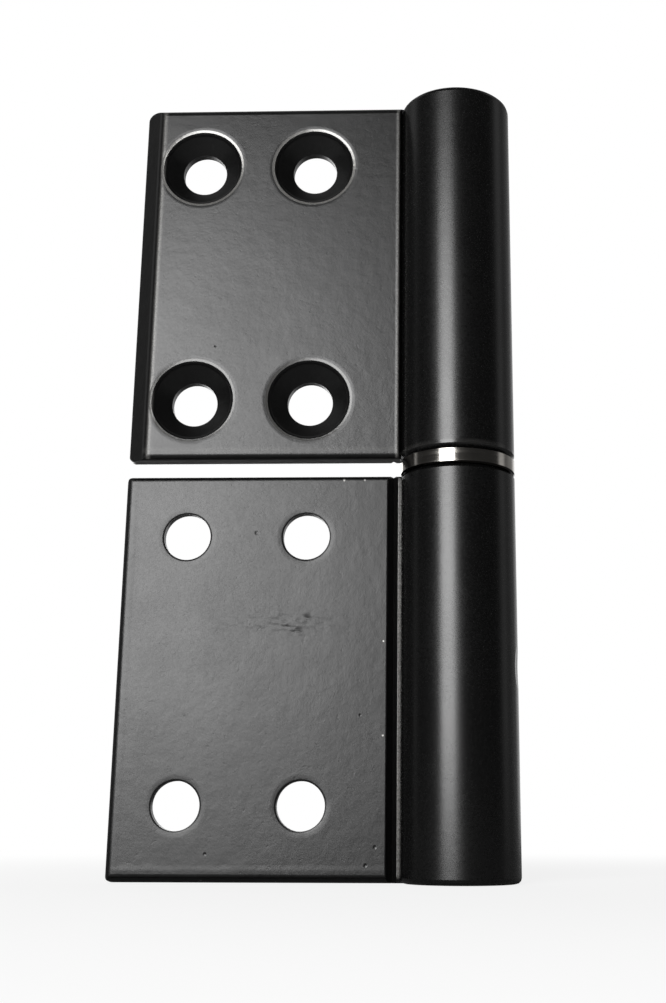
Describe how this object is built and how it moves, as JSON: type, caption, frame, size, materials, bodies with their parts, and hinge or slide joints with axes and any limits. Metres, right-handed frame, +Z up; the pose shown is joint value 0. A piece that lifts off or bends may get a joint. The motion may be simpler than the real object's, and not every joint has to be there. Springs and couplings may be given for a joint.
{
  "type": "lift-off flag hinge",
  "caption": "Lift-off hinge: flag-shaped countersunk leaves drawn in one piece with their round knuckles, a pressed-in pin and a turned ring between the knuckles.",
  "frame": {"origin": "on the hinge line, at the flat lower end of the lower knuckle", "axes": "+Z up along the hinge line, -X from the hinge line towards the outer edges of both leaves, -Y out of the lower leaf's mounting face"},
  "size_m": [0.0589, 0.0172, 0.1206],
  "materials": {
    "black_coat": "fine-textured satin powder coat",
    "pin_steel": "ground",
    "ring_metal": "turned and plated"
  },
  "bodies": {
    "frame_side": {"lower_leaf": "black_coat", "hinge_pin": "pin_steel"},
    "turning_ring": {"spacer_ring": "ring_metal"},
    "door_side": {"upper_leaf": "black_coat"}
  },
  "joints": [
    {"name": "leaf_swing", "type": "hinge", "parent": "frame_side", "child": "turning_ring", "pos_m": [0, 0, 0.0591], "axis": [0, 0, 1], "continuous": true},
    {"name": "leaf_lift_off", "type": "slide", "parent": "turning_ring", "child": "door_side", "axis": [0, 0, 1], "range_m": [0, 0.044]}
  ]
}
